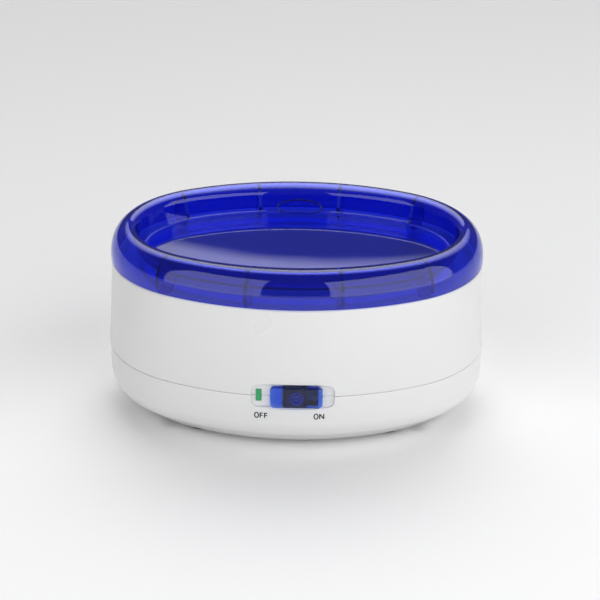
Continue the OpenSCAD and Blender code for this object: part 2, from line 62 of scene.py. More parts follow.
HALF_LENGTH = upper_high.x
HALF_DEPTH = upper_high.y
END_RADIUS = 67.5 * MM
END_X = HALF_LENGTH - END_RADIUS
SIDE_RADIUS = (END_X ** 2 + HALF_DEPTH ** 2 - END_RADIUS ** 2) / (2 * (HALF_DEPTH - END_RADIUS))
SIDE_Y = SIDE_RADIUS - HALF_DEPTH
JOIN = math.atan2(SIDE_Y, END_X)
END_STEPS = 96
SIDE_STEPS = 64

BASE_Z = base_low.z
LIP_RISE = 3.5 * MM
SEAM_Z = base_high.z - LIP_RISE
SHOULDER_Z = upper_high.z
WALL = 2.5 * MM
LID_WALL = 2.2 * MM


# ---------------------------------------------------------------- mesh helpers
def arc(centre, radius, start, end, steps):
    """Points along an arc without its last one, as x, y, normal x, normal y."""
    angles = start + (end - start) * np.arange(steps) / steps
    cos, sin = np.cos(angles), np.sin(angles)
    return np.stack([centre[0] + radius * cos, centre[1] + radius * sin, cos, sin], axis=1)


def oval(grow):
    """The body outline grown by `grow`, as rows of x, y, normal x, normal y."""
    return np.concatenate([
        arc((END_X, 0), END_RADIUS + grow, -JOIN, JOIN, END_STEPS),
        arc((0, -SIDE_Y), SIDE_RADIUS + grow, JOIN, math.pi - JOIN, SIDE_STEPS),
        arc((-END_X, 0), END_RADIUS + grow, math.pi - JOIN, math.pi + JOIN, END_STEPS),
        arc((0, SIDE_Y), SIDE_RADIUS + grow, math.pi + JOIN, 2 * math.pi - JOIN, SIDE_STEPS)])


def front_y(x, grow=0.0):
    """Y of the body's front skin at x, grown by `grow`."""
    return SIDE_Y - math.sqrt((SIDE_RADIUS + grow) ** 2 - x * x)


def ellipse(centre, rx, ry, start, end, steps):
    """Points of an elliptic arc, both ends included; angles in degrees."""
    return [(centre[0] + rx * math.cos(math.radians(start + (end - start) * i / steps)),
             centre[1] + ry * math.sin(math.radians(start + (end - start) * i / steps)))
            for i in range(steps + 1)]


def new_object(name, verts, faces, smooth_angle=40.0):
    """A mesh object with consistent normals, shaded smooth below the given angle."""
    mesh = bpy.data.meshes.new(name)
    mesh.from_pydata([tuple(v) for v in verts], [], faces)
    mesh.validate()
    obj = bpy.data.objects.new(name, mesh)
    bpy.context.scene.collection.objects.link(obj)
    tidy_normals(obj, smooth_angle)
    return obj


CAP_SIDES = 60


def tidy_normals(obj, smooth_angle):
    """Outward normals, and smooth shading across edges flatter than the angle, except round flat caps."""
    bm = bmesh.new()
    bm.from_mesh(obj.data)
    bmesh.ops.remove_doubles(bm, verts=bm.verts, dist=1e-7)
    bmesh.ops.recalc_face_normals(bm, faces=bm.faces)
    limit = math.radians(smooth_angle)
    for face in bm.faces:
        face.smooth = True
    for edge in bm.edges:
        flat_cap = any(len(face.verts) > CAP_SIDES for face in edge.link_faces)
        edge.smooth = len(edge.link_faces) == 2 and not flat_cap and edge.calc_face_angle(0.0) < limit
    bm.to_mesh(obj.data)
    bm.free()


def ring_faces(rings, count, closed):
    """Quads between neighbouring rings of `count` points, with end caps unless the run is closed."""
    faces = []
    for i in range(rings if closed else rings - 1):
        a, b = i * count, ((i + 1) % rings) * count
        for j in range(count):
            k = (j + 1) % count
            faces.append((a + j, a + k, b + k, b + j))
    if not closed:
        faces.append(tuple(range(count - 1, -1, -1)))
        faces.append(tuple((rings - 1) * count + j for j in range(count)))
    return faces


def oval_loft(name, profile, closed=False, smooth_angle=40.0):
    """Skins (grow, z) rings round the oval: a hoop if closed, a cup if not. A third value in a ring makes
    its oval shallower in Y by that share."""
    verts = []
    for grow, z, *squeeze in profile:
        depth = 1 - sum(squeeze)
        points = oval(grow)
        verts.extend((x, y * depth, z) for x, y in points[:, :2])
    return new_object(name, verts, ring_faces(len(profile), 2 * (END_STEPS + SIDE_STEPS), closed),
                      smooth_angle)


def rounded_outline(width, height, radius, steps=10):
    """Outline of a round-cornered rectangle about the origin, in x and z."""
    points = []
    for sx, sz, start in ((1, 1, 0), (-1, 1, 90), (-1, -1, 180), (1, -1, 270)):
        centre = (sx * (width / 2 - radius), sz * (height / 2 - radius))
        points.extend(ellipse(centre, radius, radius, start, start + 90, steps))
    return points


def apply_boolean(target, cutters, operation):
    """Applies one exact Boolean per cutter to the target's mesh."""
    for cutter in cutters:
        modifier = target.modifiers.new(operation, "BOOLEAN")
        modifier.operation = operation
        modifier.solver = "EXACT"
        modifier.object = cutter
    graph = bpy.context.evaluated_depsgraph_get()
    result = bpy.data.meshes.new_from_object(target.evaluated_get(graph), depsgraph=graph)
    target.modifiers.clear()
    target.data = result


def remove(objects):
    for obj in objects:
        bpy.data.objects.remove(obj)


def box_mesh(name, low, high):
    """A plain cutting box."""
    verts = [(x, y, z) for x in (low[0], high[0]) for y in (low[1], high[1]) for z in (low[2], high[2])]
    faces = [(0, 1, 3, 2), (4, 6, 7, 5), (0, 4, 5, 1), (2, 3, 7, 6), (0, 2, 6, 4), (1, 5, 7, 3)]
    return new_object(name, verts, faces)


def rod_mesh(name, centre, radius, z0, z1, sides=48):
    """An upright cutting cylinder."""
    verts = [(centre[0] + radius * math.cos(2 * math.pi * i / sides),
              centre[1] + radius * math.sin(2 * math.pi * i / sides), z)
             for z in (z0, z1) for i in range(sides)]
    return new_object(name, verts, ring_faces(2, sides, False))


# ---------------------------------------------------------------- materials
class Nodes:
    """A material's node tree with short calls for the nodes used here."""

    def __init__(self, name):
        self.material = bpy.data.materials.new(name)
        self.material.use_nodes = True
        self.tree = self.material.node_tree
        self.shader = self.tree.nodes["Principled BSDF"]
        self.output = self.tree.nodes["Material Output"]
        self.coords = self.add("ShaderNodeTexCoord").outputs["Object"]

    def add(self, kind):
        return self.tree.nodes.new(kind)

    def link(self, source, target):
        self.tree.links.new(source, target)

    def set(self, **values):
        """Constants on the shader's own sockets; spaces in socket names are written as underscores."""
        for key, value in values.items():
            self.shader.inputs[key.replace("_", " ")].default_value = value

    def noise(self, scale, detail=3.0, stretch=(1, 1, 1)):
        mapping = self.add("ShaderNodeMapping")
        mapping.inputs["Scale"].default_value = stretch
        self.link(self.coords, mapping.inputs["Vector"])
        noise = self.add("ShaderNodeTexNoise")
        noise.inputs["Scale"].default_value = scale
        noise.inputs["Detail"].default_value = detail
        self.link(mapping.outputs["Vector"], noise.inputs["Vector"])
        return noise.outputs["Fac"]

    def ramp(self, factor, low, high, start=0.3, end=0.7):
        """Blends two colours by a factor."""
        ramp = self.add("ShaderNodeValToRGB")
        ramp.color_ramp.elements[0].position = start
        ramp.color_ramp.elements[1].position = end
        ramp.color_ramp.elements[0].color = (*low, 1)
        ramp.color_ramp.elements[1].color = (*high, 1)
        self.link(factor, ramp.inputs["Fac"])
        return ramp.outputs["Color"]

    def spread(self, factor, low, high):
        """Maps 0..1 to low..high."""
        node = self.add("ShaderNodeMapRange")
        node.inputs["To Min"].default_value = low
        node.inputs["To Max"].default_value = high
        self.link(factor, node.inputs["Value"])
        return node.outputs["Result"]

    def bump(self, height, strength, distance):
        node = self.add("ShaderNodeBump")
        node.inputs["Strength"].default_value = strength
        node.inputs["Distance"].default_value = distance
        self.link(height, node.inputs["Height"])
        self.link(node.outputs["Normal"], self.shader.inputs["Normal"])


def tint(colour, factor):
    return tuple(min(1.0, c * factor) for c in colour)


def moulded(name, colour, roughness=0.3, grain=600.0, strength=0.05, coat=0.0, vary=0.04):
    """Moulded plastic or rubber: faint colour drift, uneven gloss and a fine moulded grain."""
    n = Nodes(name)
    drift = n.ramp(n.noise(18.0), tint(colour, 1 - vary), tint(colour, 1 + vary))
    n.link(drift, n.shader.inputs["Base Color"])
    n.link(n.spread(n.noise(45.0), roughness * 0.85, roughness * 1.2), n.shader.inputs["Roughness"])
    n.set(Coat_Weight=coat, Coat_Roughness=0.06)
    n.bump(n.noise(grain, 2.0), strength, 0.1 * MM)
    return n.material


def white_abs():
    """Glossy white shell: a soft sub-gloss under a clear skin, with a trace of moulding ripple."""
    n = Nodes("white_abs")
    n.link(n.ramp(n.noise(5.0, 1.0), (0.700, 0.701, 0.699), (0.710, 0.711, 0.710)),
           n.shader.inputs["Base Color"])
    n.link(n.spread(n.noise(30.0, 1.0), 0.26, 0.31), n.shader.inputs["Roughness"])
    n.set(Coat_Weight=0.45, Coat_Roughness=0.05, IOR=1.52)
    n.bump(n.noise(20.0, 1.0), 0.02, 0.15 * MM)
    return n.material


def clear_plastic(name, through, thickness, surface, clarity, roughness, shade):
    """Tinted plastic that passes `through` of each colour over `thickness`; a lower `clarity` adds haze."""
    n = Nodes(name)
    n.set(Transmission_Weight=clarity, IOR=1.53, Base_Color=(*surface, 1), Roughness=roughness)
    take = [-math.log(c) / thickness for c in through]
    density = max(take) * 1.02
    absorb = n.add("ShaderNodeVolumeAbsorption")
    absorb.inputs["Density"].default_value = density
    absorb.inputs["Color"].default_value = (*[1 - t / density for t in take], 1)
    n.link(absorb.outputs["Volume"], n.output.inputs["Volume"])
    n.bump(n.noise(22.0, 1.0), 0.04, 0.4 * MM)
    clear = n.add("ShaderNodeBsdfTransparent")
    clear.inputs["Color"].default_value = (*shade, 1)
    path = n.add("ShaderNodeLightPath")
    mix = n.add("ShaderNodeMixShader")
    n.link(path.outputs["Is Shadow Ray"], mix.inputs[0])
    n.link(n.shader.outputs["BSDF"], mix.inputs[1])
    n.link(clear.outputs["BSDF"], mix.inputs[2])
    n.link(mix.outputs["Shader"], n.output.inputs["Surface"])
    return n.material


def metal(name, colour, roughness, stretch=(1, 1, 1), grain=400.0, strength=0.15):
    """Metal with uneven gloss and grain, stretched where it is brushed or drawn."""
    n = Nodes(name)
    n.link(n.ramp(n.noise(25.0), tint(colour, 0.94), tint(colour, 1.03)), n.shader.inputs["Base Color"])
    brushed = n.noise(grain, 4.0, stretch)
    n.link(n.spread(brushed, roughness * 0.8, roughness * 1.25), n.shader.inputs["Roughness"])
    n.set(Metallic=1.0)
    n.bump(brushed, strength, 0.03 * MM)
    return n.material


def board():
    """Tan laminate with darker conductor runs."""
    n = Nodes("board_laminate")
    brick = n.add("ShaderNodeTexBrick")
    brick.inputs["Scale"].default_value = 90.0
    brick.inputs["Color1"].default_value = (0.50, 0.36, 0.16, 1)
    brick.inputs["Color2"].default_value = (0.46, 0.33, 0.15, 1)
    brick.inputs["Mortar"].default_value = (0.36, 0.26, 0.12, 1)
    n.link(n.coords, brick.inputs["Vector"])
    n.link(brick.outputs["Color"], n.shader.inputs["Base Color"])
    n.set(Roughness=0.55)
    n.bump(n.noise(500.0), 0.1, 0.05 * MM)
    return n.material


def windings():
    """Enamelled copper wire, close turns shown by a fine wave."""
    n = Nodes("copper_wire")
    wave = n.add("ShaderNodeTexWave")
    wave.inputs["Scale"].default_value = 350.0
    wave.inputs["Distortion"].default_value = 0.4
    n.link(n.coords, wave.inputs["Vector"])
    n.link(n.ramp(wave.outputs["Fac"], (0.28, 0.10, 0.04), (0.62, 0.28, 0.12)), n.shader.inputs["Base Color"])
    n.set(Metallic=0.9, Roughness=0.32)
    n.bump(wave.outputs["Fac"], 0.6, 0.2 * MM)
    return n.material


def make_materials():
    """One material for every slot of the record."""
    return {
        "white_abs": white_abs(),
        "blue_lid": clear_plastic("blue_lid", (0.85, 0.88, 0.95), LID_WALL, surface=(0.035, 0.065, 0.72),
                                  clarity=0.94, roughness=0.015, shade=(0.92, 0.92, 0.96)),
        "blue_oval": moulded("blue_oval", (0.006, 0.008, 0.10), 0.2),
        "blue_knob": clear_plastic("blue_knob", (0.16, 0.34, 0.86), 2.6 * MM, surface=(1.0, 1.0, 1.0),
                                   clarity=1.0, roughness=0.03, shade=(0.9, 0.9, 0.95)),
        "blue_frosted": moulded("blue_frosted", (0.010, 0.028, 0.26), 0.22, coat=0.8),
        "green_lens": moulded("green_lens", (0.01, 0.30, 0.10), 0.25, coat=0.5),
        "stainless": metal("stainless", (0.78, 0.78, 0.79), 0.38, stretch=(1, 1, 14)),
        "zinc_steel": metal("zinc_steel", (0.58, 0.59, 0.60), 0.3),
        "heatsink_alu": metal("heatsink_alu", (0.68, 0.69, 0.70), 0.35, stretch=(1, 1, 12)),
        "pin_brass": metal("pin_brass", (0.66, 0.64, 0.58), 0.2),
        "copper_wire": windings(),
        "board_laminate": board(),
        "white_silicone": moulded("white_silicone", (0.70, 0.70, 0.68), 0.6),
        "ceramic": moulded("ceramic", (0.70, 0.69, 0.62), 0.4, grain=900.0),
        "epoxy": moulded("epoxy", (0.40, 0.28, 0.10), 0.25),
        "ferrite": moulded("ferrite", (0.05, 0.05, 0.055), 0.5, grain=1200.0, strength=0.2),
        "choke_powder": moulded("choke_powder", (0.62, 0.50, 0.08), 0.45),
        "capacitor_sleeve": moulded("capacitor_sleeve", (0.03, 0.04, 0.12), 0.2),
        "film_red": moulded("film_red", (0.32, 0.03, 0.02), 0.22),
        "black_plastic": moulded("black_plastic", (0.018, 0.018, 0.020), 0.38, strength=0.12),
        "fuse_glass": clear_plastic("fuse_glass", (0.85, 0.92, 0.90), 2 * MM, surface=(1.0, 1.0, 1.0),
                                    clarity=1.0, roughness=0.02, shade=(0.9, 0.9, 0.9)),
        "connector_nylon": moulded("connector_nylon", (0.75, 0.73, 0.66), 0.42),
        "lead_brown": moulded("lead_brown", (0.10, 0.05, 0.03), 0.4),
        "lead_red": moulded("lead_red", (0.35, 0.02, 0.02), 0.4),
        "lead_blue": moulded("lead_blue", (0.03, 0.06, 0.30), 0.4),
        "lead_green": moulded("lead_green", (0.02, 0.18, 0.05), 0.4),
        "label_silver": metal("label_silver", (0.70, 0.71, 0.72), 0.42, stretch=(20, 1, 1)),
        "foot_rubber": moulded("foot_rubber", (0.016, 0.016, 0.017), 0.75, grain=900.0, strength=0.3),
    }


# ---------------------------------------------------------------- shells
UNDER_SLOPE = 36.9
BASE_INSET = 0.5 * MM
CORNER_RADIUS = 12 * MM
CORNER_TOP_Z = 21.2 * MM
BOTTOM_RADIUS = 3 * MM
BODY_DRAFT = 2.5 * MM
SHOULDER_W = 3.5 * MM
DECK_Z = SHOULDER_Z - 4 * MM
DECK_INNER = 22.5 * MM
SWITCH_Z = 36.15 * MM
RECESS_W = 43.2 * MM
RECESS_H = 12.5 * MM
RECESS_DEPTH = 1.4 * MM
PILLAR_INSET = 18 * MM
PILLAR_ANGLE = 50.0
PILLAR_SPLIT_Z = 24 * MM
BOSS_R = 5.25 * MM
BOSS_BORE_R = 1.7 * MM
SCREW_WELL_R = 3.75 * MM
SCREW_SEAT_Z = 14 * MM
BOARD_POST_X = 55 * MM
BOARD_POST_Y = (-25 * MM, 29 * MM)
VENT_PITCH = 6.4 * MM
VENT_HALF_W = 1.1 * MM
VENT_X = 40 * MM
VENT_HALF_L = 9 * MM


def base_corner(inside):
    """The base's lower corner, `inside` in from the skin, from its flat bottom up to the wall."""
    slope = math.radians(UNDER_SLOPE)
    centre = (-BASE_INSET - CORNER_RADIUS, CORNER_TOP_Z)
    radius = CORNER_RADIUS - inside
    end = ellipse(centre, radius, radius, UNDER_SLOPE - 90, 0, 1)[0]
    touch_z = BASE_Z + inside + BOTTOM_RADIUS * (1 - math.cos(slope))
    touch = end[0] - (end[1] - touch_z) / math.tan(slope)
    bottom = (touch - BOTTOM_RADIUS * math.sin(slope), BASE_Z + inside + BOTTOM_RADIUS)
    return (ellipse(bottom, BOTTOM_RADIUS, BOTTOM_RADIUS, -90, UNDER_SLOPE - 90, 6)
            + ellipse(centre, radius, radius, UNDER_SLOPE - 90, 0, 18))


def recess_cutter():
    """The switch recess as a solid to cut away, with a softened mouth and a filleted floor."""
    rings = [(-3.0, 0.9), (-0.25, 0.9), (-0.02, 0.45), (0.12, 0.2), (0.35, 0.03), (0.6, 0.0),
             (1.0, 0.0), (1.2, -0.08), (1.34, -0.25), (1.4, -0.5)]
    verts = []
    for depth, grow in rings:
        outline = rounded_outline(RECESS_W + 2 * grow * MM, RECESS_H + 2 * grow * MM, 3.4 * MM + grow * MM)
        verts.extend((x, front_y(x, -depth * MM), SWITCH_Z + z) for x, z in outline)
    last = [(x, z) for x, z in rounded_outline(RECESS_W - 1.0 * MM, RECESS_H - 1.0 * MM, 2.9 * MM)]
    for share in (0.75, 0.5, 0.25):
        verts.extend((x * share, front_y(x * share, -RECESS_DEPTH), SWITCH_Z + z * share) for x, z in last)
    count = len(last)
    return new_object("recess_cutter", verts, ring_faces(len(verts) // count, count, False))


def switch_cutters():
    """Recess, window for the carriage and slot for the lamp."""
    carriage_low, carriage_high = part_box("switch_carriage")
    window_low = (carriage_low.x - 0.4 * MM, -HALF_DEPTH - 4 * MM, carriage_low.z - 0.3 * MM)
    window_high = (carriage_high.x + 5.9 * MM, -HALF_DEPTH + 9 * MM, carriage_high.z + 0.3 * MM)
    flange = 0.7 * MM
    slot_low = (lens_low.x + flange, -HALF_DEPTH - 4 * MM, lens_low.z + flange)
    slot_high = (lens_high.x - flange, -HALF_DEPTH + 9 * MM, lens_high.z - flange)
    return [recess_cutter(), box_mesh("window_cutter", window_low, window_high),
            box_mesh("slot_cutter", slot_low, slot_high)]


def pillar_places():
    """Centres of the four housing screws, in x and y."""
    angle = math.radians(PILLAR_ANGLE)
    x = END_X + (END_RADIUS - PILLAR_INSET) * math.cos(angle)
    y = (END_RADIUS - PILLAR_INSET) * math.sin(angle)
    return [(sx * x, sy * y) for sx in (-1, 1) for sy in (-1, 1)]


def boss(place, radius, bore, z0, z1):
    """An upright boss and the cutter for its blind bore, which is open at the end given first."""
    into = (z1 - z0) * 0.9
    return (rod_mesh("boss", place, radius, min(z0, z1), max(z0, z1)),
            rod_mesh("bore", place, bore, min(z0 - into * 0.01, z0 + into), max(z0 - into * 0.01, z0 + into)))


def slope_foot(solid, foot_z):
    """Raises a boss's foot along the slope of the base's corner, so that it ends inside the wall."""
    corners = np.array([v.co[:] for v in solid.data.vertices])
    centre = Vector((corners[:, 0].mean(), corners[:, 1].mean(), 0))
    outward = (centre - Vector((math.copysign(END_X, centre.x), 0, 0))).normalized()
    for vertex in solid.data.vertices:
        reach = (vertex.co - centre).dot(outward)
        if vertex.co.z < foot_z + MM and reach > 0:
            vertex.co.z = foot_z + reach * math.tan(math.radians(UNDER_SLOPE))


def make_base(material):
    """Lower shell with its rounded lip, bosses, feet seats, screw wells, vents and the inlet's cut-out."""
    top = SEAM_Z - 0.1 * MM
    edge = 0.5 * MM
    outer = base_corner(0)
    rim = ellipse((-0.1 * MM - edge, top - edge), edge, edge, 0, 90, 5)
    lip = [(-2.8 * MM, top), (-2.8 * MM, base_high.z), (-4.2 * MM, base_high.z),
           (-4.2 * MM, SEAM_Z - 4 * MM), (-3.0 * MM, SEAM_Z - 7 * MM)]
    shell = oval_loft("base_shell_skin", outer + rim + lip + base_corner(WALL)[::-1], smooth_angle=30)
    inlet_low, inlet_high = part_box("power_inlet")
    foot_z = BASE_Z + 1.5 * MM
    posts = [boss(place, BOSS_R, BOSS_BORE_R, PILLAR_SPLIT_Z - 0.2 * MM, foot_z) for place in pillar_places()]
    for solid, _ in posts:
        slope_foot(solid, foot_z)
    posts += [boss((sx * BOARD_POST_X, y), 4 * MM, 1.2 * MM, 9 * MM, foot_z)
              for sx in (-1, 1) for y in BOARD_POST_Y]
    cutters = switch_cutters() + [bore for _, bore in posts]
    bosses = [solid for solid, _ in posts]
    bracket_low, bracket_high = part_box("bracket_screws")
    for x in (bracket_low.x + 2.4 * MM, bracket_high.x - 2.4 * MM):
        z = (bracket_low.z + bracket_high.z) / 2
        bosses.append(rod_along_y("boss", 3.5 * MM, -73.1 * MM, -64 * MM, x, z))
        cutters.append(rod_along_y("bore", 1.1 * MM, -70 * MM, -63 * MM, x, z))
    apply_boolean(shell, bosses, "UNION")
    remove(bosses)
    for x, y in pillar_places():
        cutters.append(rod_mesh("well", (x, y), SCREW_WELL_R, BASE_Z - MM, SCREW_SEAT_Z))
    for name in ("foot_front_left", "foot_front_right", "foot_back_left", "foot_back_right"):
        low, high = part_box(name)
        centre = ((low.x + high.x) / 2, (low.y + high.y) / 2)
        cutters.append(rod_mesh("foot_seat", centre, 7.1 * MM, BASE_Z - MM, high.z))
    for side in (-1, 1):
        for i in range(-2, 3):
            x, y = side * VENT_X, i * VENT_PITCH
            cutters.append(box_mesh("vent", (x - VENT_HALF_L, y - VENT_HALF_W, BASE_Z - MM),
                                    (x + VENT_HALF_L, y + VENT_HALF_W, BASE_Z + 4 * MM)))
    for name, side, rise, depth in (("inlet_seat", -0.2, -0.2, 1.2), ("inlet_hole", 2.3, 1.3, 8)):
        inset = Vector((side * MM, 0, rise * MM))
        low, high = inlet_low + inset, inlet_high - inset
        cutters.append(box_mesh(name, (low.x, HALF_DEPTH - depth * MM, low.z),
                                (high.x, HALF_DEPTH + 4 * MM, high.z)))
    apply_boolean(shell, cutters, "DIFFERENCE")
    remove(cutters)
    return finish_piece(shell, material, "housing", "white_abs", "base_shell", smooth_angle=30)


def make_upper(material):
    """Upper shell: drafted wall, rounded shoulder, sunk deck with the basin's opening."""
    low = SEAM_Z + 0.1 * MM
    edge, round_out, round_in, fillet, chamfer = 0.5 * MM, 1.3 * MM, 0.4 * MM, 0.6 * MM, 0.3 * MM
    ledge = -BODY_DRAFT - SHOULDER_W
    under = DECK_Z - WALL
    profile = [(-WALL, low)]
    profile += ellipse((-edge, low + edge), edge, edge, -90, 0, 5)
    profile += ellipse((-BODY_DRAFT - round_out, SHOULDER_Z - round_out), round_out, round_out, 0, 90, 8)
    profile += ellipse((ledge + round_in, SHOULDER_Z - round_in), round_in, round_in, 90, 180, 4)
    profile += ellipse((ledge - fillet, DECK_Z + fillet), fillet, fillet, 0, -90, 4)
    profile += [(-DECK_INNER + chamfer, DECK_Z), (-DECK_INNER, DECK_Z - chamfer), (-DECK_INNER, under)]
    profile += [(ledge - WALL, under), (-BODY_DRAFT - WALL, under - 3.5 * MM)]
    shell = oval_loft("upper_housing_skin", profile, closed=True, smooth_angle=30)
    pillars = [boss(place, 4 * MM, 1.3 * MM, PILLAR_SPLIT_Z, DECK_Z - MM) for place in pillar_places()]
    bosses = [solid for solid, _ in pillars]
    cutters = switch_cutters() + [bore for _, bore in pillars]
    apply_boolean(shell, bosses, "UNION")
    apply_boolean(shell, cutters, "DIFFERENCE")
    remove(bosses + cutters)
    return finish_piece(shell, material, "housing", "white_abs", "upper_housing", smooth_angle=30)


def finish_piece(obj, material, body, slot, *nodes, smooth_angle=40.0):
    """Shades a piece, gives it its material, ties it to its body and hides the CAD nodes it stands for."""
    tidy_normals(obj, smooth_angle)
    obj.data.materials.clear()
    obj.data.materials.append(material)
    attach(obj, body)
    if nodes:
        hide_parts(*nodes)
    return obj


# ---------------------------------------------------------------- basin
def make_tank(material):
    """Deep-drawn basin with a rolled mouth and a flat flange."""
    sheet = 0.8 * MM
    flange_top = tank_high.z
    floor_in = tank_low.z + sheet
    mouth = 3 * MM
    corner = 8 * MM
    bend = (-22 * MM, flange_top - mouth)
    foot = (-36 * MM, floor_in + corner)
    outer = ellipse(foot, corner + sheet, corner + sheet, -90, 0, 16) \
        + ellipse(bend, mouth - sheet, mouth - sheet, 180, 90, 8)
    edge = [(-17.1 * MM, flange_top - sheet), (-17 * MM, flange_top - sheet / 2), (-17.1 * MM, flange_top)]
    inner = ellipse(bend, mouth, mouth, 90, 180, 10) + ellipse(foot, corner, corner, 0, -90, 18)
    basin = oval_loft("tank_basin", outer + edge + inner, smooth_angle=35)
    return finish_piece(basin, material, "housing", "stainless", "tank", smooth_angle=35)


# ---------------------------------------------------------------- lid
LID_RISE = lid_high.z - SHOULDER_Z
CROWN_INSET = 12 * MM
CROWN_HALF_W = 9.9 * MM
LID_FOOT_INSET = 2 * MM
LID_STRAIGHT = 4 * MM
RIM_RADIUS = 4.7 * MM
WELL_SQUEEZE = 0.06
WELL_LEAN = 2 * MM
WELL_FILLET = 1.5 * MM
WELL_FLOOR_Z = SHOULDER_Z + 4.5 * MM
LUG_Z = DECK_Z + 1.2 * MM
RIB_T = 1.8 * MM
EMBLEM_RISE = 7 * MM
EMBLEM_HALF_W = 12.5 * MM
EMBLEM_HALF_H = 4.2 * MM
RIBS = ((25.5 * MM, 3.5 * MM), (73 * MM, 1.8 * MM))


def lid_outside(inside, steps=24):
    """Lid section up its outer wall to the crown, `inside` in from the skin."""
    return ellipse((-CROWN_INSET, SHOULDER_Z + LID_STRAIGHT), CROWN_HALF_W - inside,
                   LID_RISE - LID_STRAIGHT - inside, 0, 90, steps)


def lid_inside(inside, steps=12):
    """Lid section from the crown down the well wall to the well floor, `inside` in from the skin.
    The well's oval is shallower than the body's."""
    rim = (-CROWN_INSET, SHOULDER_Z + LID_RISE - RIM_RADIUS)
    foot = (-CROWN_INSET - RIM_RADIUS - WELL_LEAN - WELL_FILLET, WELL_FLOOR_Z + WELL_FILLET)
    shares = [-math.cos(math.radians(98 + 82 * i / steps)) for i in range(steps + 1)]
    down = ellipse(rim, RIM_RADIUS - inside, RIM_RADIUS - inside, 98, 180, steps)
    floor = ellipse(foot, WELL_FILLET + inside, WELL_FILLET + inside, 0, -90, steps)
    return ([(grow, z, WELL_SQUEEZE * share) for (grow, z), share in zip(down, shares)]
            + [(grow, z, WELL_SQUEEZE) for grow, z in floor])


def oval_place(x, side):
    """Point and outward normal of the outline at x, on the front (-1) or back (1)."""
    if abs(x) < SIDE_RADIUS * END_X / math.hypot(END_X, SIDE_Y):
        angle = math.acos(x / SIDE_RADIUS)
        centre, radius = Vector((0, -SIDE_Y, 0)), SIDE_RADIUS
    else:
        angle = math.acos((abs(x) - END_X) / END_RADIUS)
        angle = angle if x > 0 else math.pi - angle
        centre, radius = Vector((math.copysign(END_X, x), 0, 0)), END_RADIUS
    normal = Vector((math.cos(angle), math.sin(angle), 0))
    point = centre + radius * normal
    flip = Vector((1, side, 1))
    return point * flip, normal * flip


def lid_rib(x, side, reach):
    """A rib across the hollow rim with its locating lug; reach is how far the well wall stands in there."""
    point, normal = oval_place(x, side)
    along = Vector((-normal.y, normal.x, 0))
    half = RIB_T / 2
    middle = LID_WALL / 2
    lug_out = -BODY_DRAFT - SHOULDER_W - 0.5 * MM
    section = [(-15.5 * MM, LUG_Z), (lug_out, LUG_Z), (lug_out, SHOULDER_Z + MM),
               (-LID_FOOT_INSET - middle, SHOULDER_Z + 3 * MM)]
    section += lid_outside(middle, 8)
    section += [(grow - reach * squeeze / WELL_SQUEEZE, z) for grow, z, squeeze in lid_inside(middle, 6)[:-3]]
    verts = [point + normal * grow + along * (s * half) + Vector((0, 0, z))
             for s in (-1, 1) for grow, z in section]
    return new_object("rib", verts, ring_faces(2, len(section), False))


def emblem_ring(material):
    """A plain raised oval on the back of the well, left blank."""
    lean = WELL_LEAN / (SHOULDER_Z + LID_RISE - RIM_RADIUS - WELL_FLOOR_Z - WELL_FILLET)
    centre_z = SHOULDER_Z + EMBLEM_RISE
    wall_top = SHOULDER_Z + LID_RISE - RIM_RADIUS
    verts = []
    count, sides, thick = 96, 12, 0.45 * MM
    for i in range(count):
        a = 2 * math.pi * i / count
        x, z = EMBLEM_HALF_W * math.cos(a), centre_z + EMBLEM_HALF_H * math.sin(a)
        grow = -CROWN_INSET - RIM_RADIUS - (wall_top - z) * lean
        y = -front_y(x, grow) * (1 - WELL_SQUEEZE)
        for k in range(sides):
            b = 2 * math.pi * k / sides
            out = thick * math.cos(b)
            verts.append((x + out * math.cos(a), y + thick * math.sin(b), z + out * math.sin(a)))
    ring = new_object("emblem_ring", verts, hoop_faces(count, sides))
    return finish_piece(ring, material, "lid", "blue_lid", "lid")


def hoop_faces(count, sides):
    """Quads of a ring of `count` sections with `sides` points each."""
    return [(i * sides + k, i * sides + (k + 1) % sides,
             ((i + 1) % count) * sides + (k + 1) % sides, ((i + 1) % count) * sides + k)
            for i in range(count) for k in range(sides)]


def make_lid(material):
    """Clear lid: hollow rolled rim, sunken well and eight ribs, as one moulding."""
    low = SHOULDER_Z + 0.3 * MM
    edge = ellipse((-LID_FOOT_INSET - 0.4 * MM, low + 0.4 * MM), 0.4 * MM, 0.4 * MM, -90, 0, 4)
    profile = (lid_inside(LID_WALL)[::-1] + lid_outside(LID_WALL)[::-1]
               + [(-LID_FOOT_INSET - LID_WALL, low)] + edge + lid_outside(0) + lid_inside(0))
    lid = oval_loft("lid_moulding", profile, smooth_angle=35)
    ribs = [lid_rib(end * x, side, reach) for side in (-1, 1) for end in (-1, 1) for x, reach in RIBS]
    apply_boolean(lid, ribs, "UNION")
    remove(ribs)
    return finish_piece(lid, material, "lid", "blue_lid", "lid", smooth_angle=35)


# ---------------------------------------------------------------- switch and legend
def front_loft(name, rings, x, z):
    """A block lofted along Y from (y, width, height, radius) rounded rectangles."""
    verts = []
    for y, width, height, radius in rings:
        verts.extend((x + px, y, z + pz) for px, pz in rounded_outline(width, height, radius, 8))
    count = len(verts) // len(rings)
    return new_object(name, verts, ring_faces(len(rings), count, False))


HUB_R = 3.6 * MM
HUB_WALL = 0.9 * MM
HUB_CORE_R = 1.9 * MM
HUB_BORE_R = 0.7 * MM
HUB_DROP = 1.1 * MM


